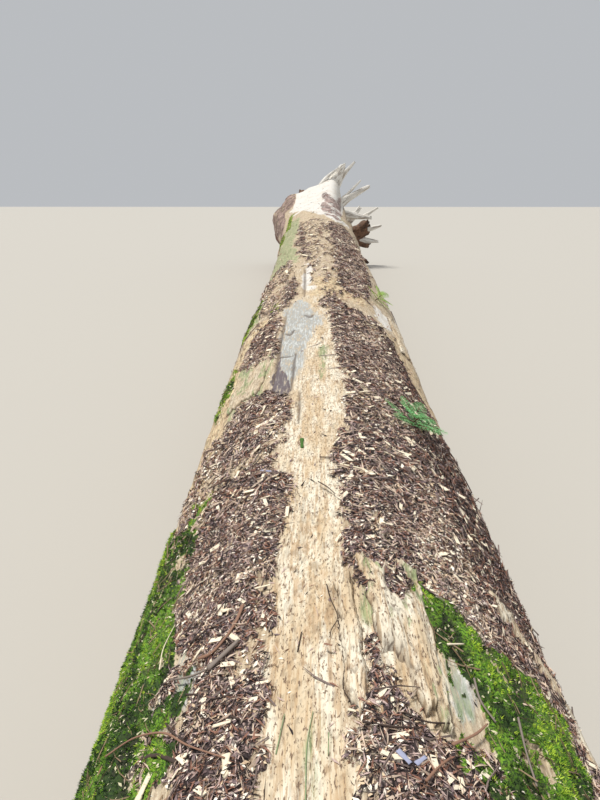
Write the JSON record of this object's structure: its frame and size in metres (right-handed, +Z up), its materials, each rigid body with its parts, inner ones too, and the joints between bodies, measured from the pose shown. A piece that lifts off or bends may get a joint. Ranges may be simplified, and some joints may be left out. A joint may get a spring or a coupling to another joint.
{
  "type": "fallen redwood tree",
  "caption": "Fallen redwood on its side: a long bare weathered trunk, settled flat underneath, flared at the collar, with an upturned plate of broken roots and a splintered end.",
  "frame": {"origin": "on the ground, under the middle of the whole tree's box", "axes": "+Y along the trunk from its broken upper end towards its roots, +Z up"},
  "size_m": [6.2602, 39.9098, 5.7273],
  "materials": {
    "bare_wood": "dry, flaking, straw-coloured wood with long grain, partly under brown litter and moss",
    "bleached_wood": "sun-bleached, checked, silver-cream root wood",
    "stained_wood": "rough red-brown root wood stained by soil",
    "splintered_wood": "fibrous reddish heartwood, freshly torn",
    "greenery": "soft green needles and moss"
  },
  "bodies": {
    "root": {"trunk": "bare_wood", "root_right_burl": "stained_wood", "root_tall_slab": "bleached_wood", "root_tall_strand": "bleached_wood", "root_crooked_horn": "bleached_wood", "root_upper_arm": "bleached_wood", "root_upper_twig": "bleached_wood", "root_side_arm": "bleached_wood", "root_side_twig": "bleached_wood", "root_level_prong": "bleached_wood", "root_lower_prong": "bleached_wood", "root_right_claw": "bleached_wood", "root_rim_01": "stained_wood", "root_rim_02": "stained_wood", "root_rim_03": "stained_wood", "root_rim_04": "stained_wood", "root_rim_05": "stained_wood", "root_rim_06": "stained_wood", "root_rim_07": "stained_wood", "root_rim_08": "stained_wood", "root_rim_09": "stained_wood", "root_rim_10": "stained_wood", "root_rim_11": "stained_wood", "root_rim_12": "stained_wood", "root_sinker_1": "stained_wood", "root_sinker_2": "stained_wood", "root_sinker_3": "stained_wood", "root_sinker_4": "stained_wood", "root_sinker_5": "stained_wood", "root_sinker_6": "stained_wood", "root_sinker_7": "stained_wood", "root_sinker_8": "stained_wood", "root_sinker_9": "stained_wood", "root_sinker_10": "stained_wood", "splinter_1": "splintered_wood", "splinter_2": "splintered_wood", "splinter_3": "splintered_wood", "splinter_4": "splintered_wood", "splinter_5": "splintered_wood", "splinter_6": "splintered_wood", "splinter_7": "splintered_wood", "splinter_8": "splintered_wood", "splinter_9": "splintered_wood", "splinter_10": "splintered_wood", "splinter_11": "splintered_wood", "sapwood_slab_right": "bare_wood", "sapwood_slab_middle": "bare_wood", "sapwood_slab_left": "bare_wood", "sapwood_slab_side": "bare_wood", "shoot_near": "greenery", "shoot_far": "greenery"}
  },
  "joints": []
}
